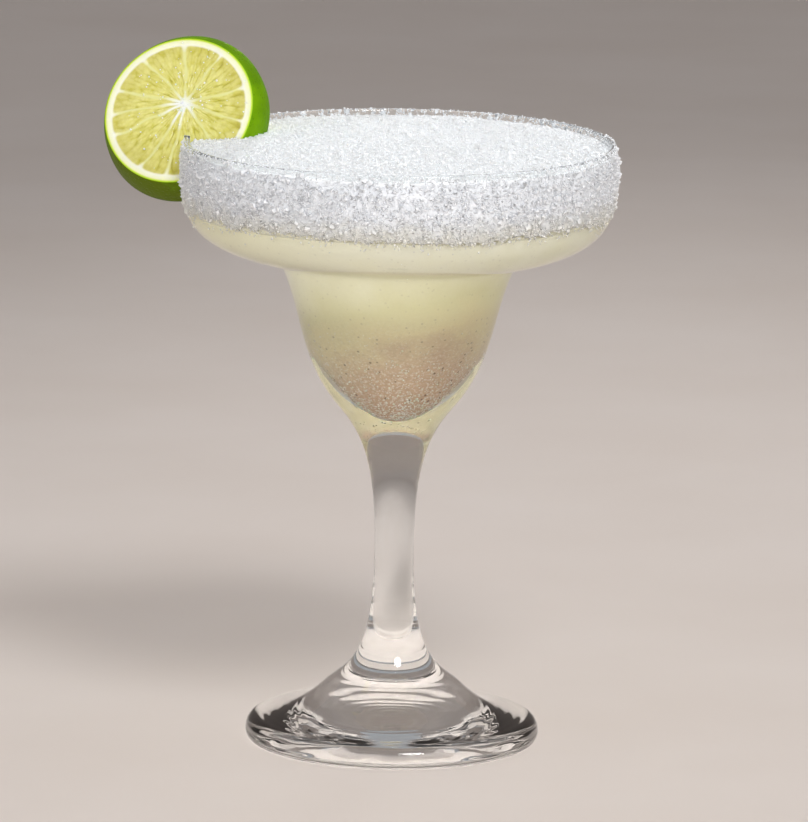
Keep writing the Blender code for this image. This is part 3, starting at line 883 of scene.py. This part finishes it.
def salt_places(count, rng, rim_share, fringe_share, sizes):
    """Centres of the salt's loose pieces: on the crust where there is one, else on bare glass."""
    angle, height = on_the_rim(count, rng, rim_share, fringe_share)
    crusted = (height < SALT_HIGH) & (height > salt_low_edge(angle))
    depth = np.where(crusted, crust_depth(angle, height), 0.0)
    radius = wall_radius(np.minimum(height, GLASS_HEIGHT - RIM_WALL / 2)) + depth + 0.12 * sizes
    over = np.clip(height - (GLASS_HEIGHT - 0.7 * MM), 0, None)
    radius = radius - over * rng.uniform(0.3, 1.8, count)
    centres = np.stack([radius * np.cos(angle), radius * np.sin(angle), height], 1)
    return centres, ~inside_wheel(centres, 0.5 * MM)


def make_salt_grains(count=24500):
    """Fine broken salt, under half a millimetre, that makes the crust look frosted."""
    rng = np.random.default_rng(51)
    size = np.clip(rng.gamma(8.0, 0.05, count), 0.2, 0.7) * MM
    centres, free = salt_places(count, rng, 0.07, 0.06, size)
    points, faces = scattered(SHARD, centres[free], size[free], rng)
    return new_piece("salt_grains", points, [faces], [salt_finish("salt_grain", 0.5)], smooth=False)


def make_salt_crystals(count=3000):
    """Whole crystals, which stand out from the crust and roughen its outline."""
    rng = np.random.default_rng(53)
    size = np.clip(rng.gamma(7.0, 0.075, count), 0.3, 1.1) * MM
    centres, free = salt_places(count, rng, 0.09, 0.0, size)
    points, faces = scattered(CUBE, centres[free], size[free], rng)
    return new_piece("salt_crystals", points, [faces], [salt_finish("salt_crystal", 0.3)], smooth=False)


salt_grains = seat(make_salt_grains(), None)
salt_crystals = seat(make_salt_crystals(), None)

# %% [markdown]
# ## Lime wheel
#
# A cut lime shows, from the outside in: a green rind, a thin bright ring of its oily layer, white pith, and
# segments of pulp between pale membranes that meet in an off-centre white core. The pulp is made of long
# juice sacs that point at the core, so their pattern lives on polar coordinates round it. Each face is a
# fine polar grid whose height and stored zones are functions of the place on it, and the slot that takes
# the glass is a real cut.

# %% Zones of the cut face
PULP_RADIUS = 19.75 * MM
CORE_RADIUS = 0.9 * MM
MEMBRANE_HALF = 0.14 * MM
ROUNDING = 0.45 * MM
SAC_LENGTH = 2.9 * MM
SACS_PER_RADIAN = 15.5


def wheel_zones(x, y, seed):
    """Depth into a segment (metres, below 0 in membranes, pith and core) and the juice sacs' relief."""
    dx, dy = x - LIME_CORE[0], y - LIME_CORE[1]
    rho = np.hypot(dx, dy)
    wobble = soft_noise(np.stack([dx, dy], 1), 5 * MM, seed) * 0.05
    phi = np.arctan2(dy, dx) + wobble
    gap = (phi[:, None] - MEMBRANES + math.pi) % (2 * math.pi) - math.pi
    nearest = np.abs(gap).min(1)
    uneven = soft_noise(np.stack([x, y], 1), 1.6 * MM, seed + 3)
    width = MEMBRANE_HALF * (0.8 + 1.3 * np.exp(-rho / (2.2 * MM)) + 0.9 * uneven)
    to_membrane = rho * np.sin(np.minimum(nearest, math.pi / 2)) - width
    to_pith = PULP_RADIUS - np.hypot(x, y)
    to_core = rho - CORE_RADIUS
    walls = np.stack([to_membrane, to_pith, to_core]) / ROUNDING
    inside = -ROUNDING * np.log(np.exp(-np.clip(walls, -30, 30)).sum(0))
    unrolled = (phi - MEMBRANES[9]) % (2 * math.pi)
    sacs = pebbles(np.stack([rho / SAC_LENGTH, unrolled * SACS_PER_RADIAN], 1), 1.0, seed + 5, jitter=0.9)
    return inside, sacs


def face_relief(x, y, seed):
    """Height of a cut face: pulp sacs bulge a little, and stand a little below pith and membranes."""
    inside, sacs = wheel_zones(x, y, seed)
    in_pulp = np.clip(inside / (0.5 * MM), 0, 1)
    fine = soft_noise(np.stack([x, y], 1), 0.7 * MM, seed + 9)
    relief = in_pulp * (-0.32 + 0.34 * sacs) + 0.03 * fine
    return relief * MM, in_pulp, sacs


# %% [markdown]
# One finish covers pulp, membranes, pith and core, because numbers stored on the points say which is which.
# So the colours follow the relief exactly. The rind is a second finish with oil pores.

# %% Finishes of flesh and rind
def flesh_finish():
    """Juicy pulp, pale membranes, white pith and the bright ring under the rind, told apart by zones."""
    finish = Finish("lime_flesh", 0.18, Subsurface_Weight=0.8, Subsurface_Scale=2.5 * MM, IOR=1.4)
    finish.set("Subsurface Radius", (1.0, 1.0, 0.35))
    pulp = finish.attribute("pulp")
    sacs = finish.attribute("sacs")
    ring = finish.attribute("ring")
    mottle = finish.plus(finish.times(finish.noise(330, detail=5, roughness=0.65), 0.7),
                         finish.times(sacs, 0.3))
    juice = finish.ramp(mottle, [(0.3, (184, 176, 72)), (0.48, (201, 195, 92)), (0.72, (228, 224, 148))])
    outer = finish.times(finish.span(ring, 0.6, 0.86), 0.35)
    juice = finish.mix(outer, juice, (190, 180, 84))
    pale = finish.ramp(ring, [
        (0.12, (240, 243, 236)), (0.3, (220, 219, 150)),
        (0.8, (222, 222, 160)), (0.9, (240, 241, 226)),
        (0.965, (234, 236, 196)), (0.985, (198, 220, 60)),
        (1.0, (140, 186, 10)),
    ])
    finish.set("Base Color", finish.mix(pulp, pale, juice))
    finish.set("Roughness", finish.mix(pulp, (0.5, 0.5, 0.5, 1), (0.12, 0.12, 0.12, 1)))
    finish.bump(finish.noise(1500, detail=2), 0.25, 0.1 * MM)
    return finish.material


def rind_finish():
    """Satin green rind with oil pores, and painted shade that makes it darker and browner low down on its
    left.
    """
    finish = Finish("lime_rind", 0.5, IOR=1.35, Specular_IOR_Level=0.2)
    pores = finish.cells(900)
    patch = finish.noise(120, detail=4)
    green = finish.ramp(patch, [(0.3, (88, 134, 0)), (0.7, (118, 164, 0))])
    green = finish.mix(finish.span(pores, 0.25, 0.05), green, (76, 116, 0))
    # Painted shade: the rind is mixed towards a dark brownish green low down and to the left.
    shade = finish.plus(finish.axis("Z"), finish.times(finish.axis("X"), 0.4))
    shade = finish.plus(shade, finish.times(finish.noise(400, detail=3), 14 * MM))
    painted_shade = finish.span(shade, 148 * MM, 138 * MM)
    finish.set("Base Color", finish.mix(painted_shade, green, (88, 106, 4)))
    finish.bump(finish.span(pores, 0.0, 0.45), 0.5, 0.25 * MM)
    return finish.material


# %% [markdown]
# The wheel is one closed grid, from the core of its front face over the rind to the core of its back face.
# Only the slot is a Boolean, because the glass has to pass through the relief cleanly.

# %% The wheel's closed form
def make_wheel(rings=92, around=440, edge_rows=16):
    """One closed form: front face, rind and back face as rows of a grid, both faces closed at the core."""
    angle = np.linspace(0, 2 * math.pi, around, endpoint=False)
    share = np.linspace(0, 1, rings + 1)[1:, None]
    way = np.stack([np.cos(angle), np.sin(angle)], -1)
    along = way @ LIME_CORE
    reach = -along + np.sqrt(along**2 + LIME_FACE_RADIUS**2 - LIME_CORE @ LIME_CORE)
    x = LIME_CORE[0] + share * reach * way[:, 0]
    y = LIME_CORE[1] + share * reach * way[:, 1]
    rows, stored = [], {"pulp": [], "sacs": [], "ring": []}
    edge_x, edge_y = x[-1] / LIME_FACE_RADIUS, y[-1] / LIME_FACE_RADIUS

    def add(px, py, pz, pulp, sacs):
        rows.append(np.stack([px, py, pz], -1))
        stored["pulp"].append(pulp)
        stored["sacs"].append(sacs)
        stored["ring"].append(np.hypot(px, py) / LIME_FACE_RADIUS)

    relief, pulp, sacs = (a.reshape(x.shape) for a in face_relief(x.ravel(), y.ravel(), 61))
    for k in range(rings):
        add(x[k], y[k], relief[k] * (k < rings - 1), pulp[k], sacs[k])
    for depth in np.linspace(0, LIME_THICKNESS, edge_rows + 2)[1:-1]:
        radius = rind_radius(depth) + crown(depth, np.arctan2(edge_y, edge_x))
        add(edge_x * radius, edge_y * radius, np.full(around, -depth), 0 * angle, 0 * angle)
    grow = rind_radius(LIME_THICKNESS) / LIME_FACE_RADIUS
    relief, pulp, sacs = (a.reshape(x.shape) for a in face_relief(x.ravel(), y.ravel(), 71))
    for k in range(rings - 1, -1, -1):
        depth = -LIME_THICKNESS - relief[k] * (k < rings - 1)
        add(x[k] * grow, y[k] * grow, depth, pulp[k], sacs[k])
    cores = [[*LIME_CORE, 0], [*LIME_CORE * grow, -LIME_THICKNESS]]
    own = np.concatenate([np.stack(rows).reshape(-1, 3), cores])
    faces = grid_faces(len(rows), around, close_columns=True)
    side, after = round_ring(around)
    last = (len(rows) - 1) * around
    poles = len(rows) * around
    front = np.stack([np.full(around, poles), side, after], 1)
    back = np.stack([np.full(around, poles + 1), last + after, last + side], 1)
    row = np.repeat(np.arange(len(rows) - 1), around)
    is_rind = (row >= rings - 1) & (row < rings + edge_rows)
    which = np.concatenate([is_rind, np.zeros(2 * around)])
    finishes = [flesh_finish(), rind_finish()]
    wheel = new_piece("lime_slice", wheel_to_world(own), [faces, front, back], finishes,
                      face_material=which)
    for name, values in stored.items():
        layer = wheel.data.attributes.new(name, "FLOAT", "POINT")
        flat = np.concatenate([np.stack(values).ravel(), [0, 0]]).astype(np.float32)
        layer.data.foreach_set("value", flat)
    return wheel


# %% Its slot
def cut_slot(wheel):
    """Cuts the slot that takes the wall, with a ring a little wider than the glass, and applies the cut."""
    low, high = GLASS_HEIGHT - 22 * MM, GLASS_HEIGHT + 0.1 * MM
    outer, inside = RIM_RADIUS + 0.1 * MM, cavity_outline(-0.1 * MM)
    inside = inside[inside[:, 1] > low]
    ends = [[inside[-1, 0], low], [outer, low], [outer, high], [inside[0, 0], high]]
    outline = np.concatenate([ends, inside])
    ring = turned("slot_ring", outline, [wheel.data.materials[0]], 160)
    cut = wheel.modifiers.new("slot", "BOOLEAN")
    cut.operation = "DIFFERENCE"
    cut.solver = "MANIFOLD"
    cut.object = ring
    seen = wheel.evaluated_get(bpy.context.evaluated_depsgraph_get())
    mesh = bpy.data.meshes.new_from_object(seen)
    wheel.modifiers.clear()
    wheel.data = mesh
    bpy.data.objects.remove(ring)
    print(f"slot cut: {len(mesh.polygons)} faces in the wheel, stored: {[a.name for a in mesh.attributes]}")
    return wheel


lime_slice = seat(cut_slot(make_wheel()), "lime_wheel")

# %% [markdown]
# ## Beads of juice
#
# A freshly cut lime is wet: small beads of juice stand on the pulp, most of them near the core and along
# the pith. Their near-white colour is a painted highlight for the white point of light each bead catches,
# and their gloss adds real highlights. They are the same twenty-faced balls as the bubbles, sunk by almost
# half into the front face.

# %% Beads of juice on the cut face
def make_juice_beads(count=150):
    """Small wet beads on the front face, spread by an uneven share of its radius, none near the glass."""
    rng = np.random.default_rng(81)
    angle = rng.uniform(0, 2 * math.pi, count)
    by_core = rng.uniform(0, 1, count) < 0.4
    reach = PULP_RADIUS * np.where(by_core, rng.beta(1.2, 3, count), rng.beta(3, 1.3, count))
    x, y = LIME_CORE[0] * 0.6 + reach * np.cos(angle), LIME_CORE[1] * 0.6 + reach * np.sin(angle)
    relief = face_relief(x, y, 61)[0]
    size = np.clip(rng.gamma(4.0, 0.05, count), 0.1, 0.36) * MM
    centres = wheel_to_world(np.stack([x, y, relief + 0.2 * size], 1))
    by_glass = np.hypot(centres[:, 0], centres[:, 1]) < RIM_RADIUS + 2 * MM
    by_glass &= centres[:, 2] < GLASS_HEIGHT + 1 * MM
    points, faces = balls(centres[~by_glass], size[~by_glass])
    # Painted highlight: near-white beads stand for the glints of light on clear juice, and their gloss adds
    # real ones.
    finish = Finish("juice_bead_painted_glint", 0.06, Subsurface_Weight=0.4, Subsurface_Scale=0.5 * MM)
    finish.set("Base Color", finish.ramp(finish.noise(600), [
        (0.35, (238, 240, 214)), (0.65, (252, 253, 248)),
    ]))
    return new_piece("juice_beads", points, [faces], [finish.material])


juice_beads = seat(make_juice_beads(), None)

# %% [markdown]
# ## Studio
#
# A pale floor that curves up all round into a wall keeps the light even from every side and gives the
# glass a soft, plain surrounding to bend. One softbox high at the front right is the key. Three low ones
# at the left, the right and the front light the salt and the drink under the saucer, where light from above
# doesn't reach. A narrow beam from behind reaches the drink's back, which the thick glass below it shows.
# Only the key is seen in reflections, and no lamp is seen through the glass, so the stem stays plain. The
# world above is dimmer than the walls, so the glass keeps darker lines along its edges.

# %% Floor and walls
FLOOR_GAP = 0.2 * MM
FLOOR_RADIUS = 3.2
WALL_CURVE = 1.2
WALL_HEIGHT = 3.0


def floor_finish():
    """Matt, pale and warm, with a barely visible mottle."""
    finish = Finish("studio_floor", 0.85)
    finish.set("Base Color", finish.ramp(finish.noise(9, detail=3), [
        (0.3, (212, 201, 193)), (0.7, (216, 206, 199)),
    ]))
    return finish.material


def make_floor():
    """A disc that curves up into a wall: straight out, a quarter of a circle, then straight up."""
    bend = np.linspace(0, math.pi / 2, 24)
    flat = np.array([[0, 0], [FLOOR_RADIUS / 4, 0], [FLOOR_RADIUS / 2, 0]])
    curved = np.stack([FLOOR_RADIUS + WALL_CURVE * np.sin(bend), WALL_CURVE * (1 - np.cos(bend))], 1)
    wall = [[FLOOR_RADIUS + WALL_CURVE, WALL_HEIGHT]]
    outline = np.concatenate([flat, curved, wall]) - np.array([0, FLOOR_GAP])
    return turned("studio_floor", outline[::-1], [floor_finish()], 96)


make_floor()


# %% Lamps and world
def softbox(name, place, size, power, glossy=True, spread=180):
    """A round area light at a place, turned to look at the middle of the bowl."""
    lamp = bpy.data.lights.new(name, "AREA")
    lamp.shape = "DISK"
    lamp.size = size
    lamp.energy = power
    lamp.spread = math.radians(spread)
    holder = bpy.data.objects.new(name, lamp)
    bpy.context.scene.collection.objects.link(holder)
    away = np.array(place) - np.array((0, 0, 0.12))
    away = away / np.linalg.norm(away)
    side = np.cross((0, 0, 1), away)
    side = side / np.linalg.norm(side)
    upwards = np.cross(away, side)
    rows = [[side[k], upwards[k], away[k], place[k]] for k in range(3)]
    holder.matrix_world = Matrix(rows + [[0, 0, 0, 1]])
    holder.visible_camera = False
    holder.visible_glossy = glossy
    holder.visible_transmission = False
    return holder


softbox("key_light", (0.45, -1.25, 1.55), 0.6, 18)
softbox("left_fill", (-1.5, -1.5, 0.4), 0.5, 12, glossy=False)
softbox("right_fill", (1.6, -1.4, 0.4), 0.5, 11, glossy=False)
softbox("front_fill", (-0.2, -2.3, 0.5), 0.8, 8, glossy=False)
softbox("back_light", (0.3, 1.9, 0.75), 0.4, 1.3, glossy=False, spread=35)

world = bpy.data.worlds.new("studio_world")
world.use_nodes = True
world.node_tree.nodes["Background"].inputs["Color"].default_value = (0.92, 0.95, 1.0, 1.0)
world.node_tree.nodes["Background"].inputs["Strength"].default_value = 0.35
bpy.context.scene.world = world
bpy.context.scene.view_settings.view_transform = "Standard"
bpy.context.scene.cycles.diffuse_bounces = 8

# %% [markdown]
# ## Camera
#
# The photograph's viewpoint was found by fitting the circles of rim and foot to their ellipses in it. The
# lens is long, so the near and the far side of the rim are seen at almost the same scale.

# %% Camera
CAMERA_PLACE = np.array((0.0, -1.9, 0.472524))
CAMERA_AIM = np.array((0.0022354, 0.0, 0.0934957))
CAMERA_ROLL = 0.01439
CAMERA_LENS = 302.68


def place_camera():
    """The photograph's viewpoint, found from rim and foot: eye height, aim, a slight roll, a long lens."""
    data = bpy.data.cameras.new("photo_camera")
    data.lens = CAMERA_LENS
    data.sensor_width = 36
    data.clip_start, data.clip_end = 0.1, 30
    camera = bpy.data.objects.new("photo_camera", data)
    bpy.context.scene.collection.objects.link(camera)
    ahead = (CAMERA_AIM - CAMERA_PLACE) / np.linalg.norm(CAMERA_AIM - CAMERA_PLACE)
    right = np.cross(ahead, (0, 0, 1))
    right = right / np.linalg.norm(right)
    up = np.cross(right, ahead)
    c, s = math.cos(CAMERA_ROLL), math.sin(CAMERA_ROLL)
    right, up = c * right + s * up, -s * right + c * up
    rows = [[right[k], up[k], -ahead[k], CAMERA_PLACE[k]] for k in range(3)]
    camera.matrix_world = Matrix(rows + [[0, 0, 0, 1]])
    bpy.context.scene.camera = camera


place_camera()
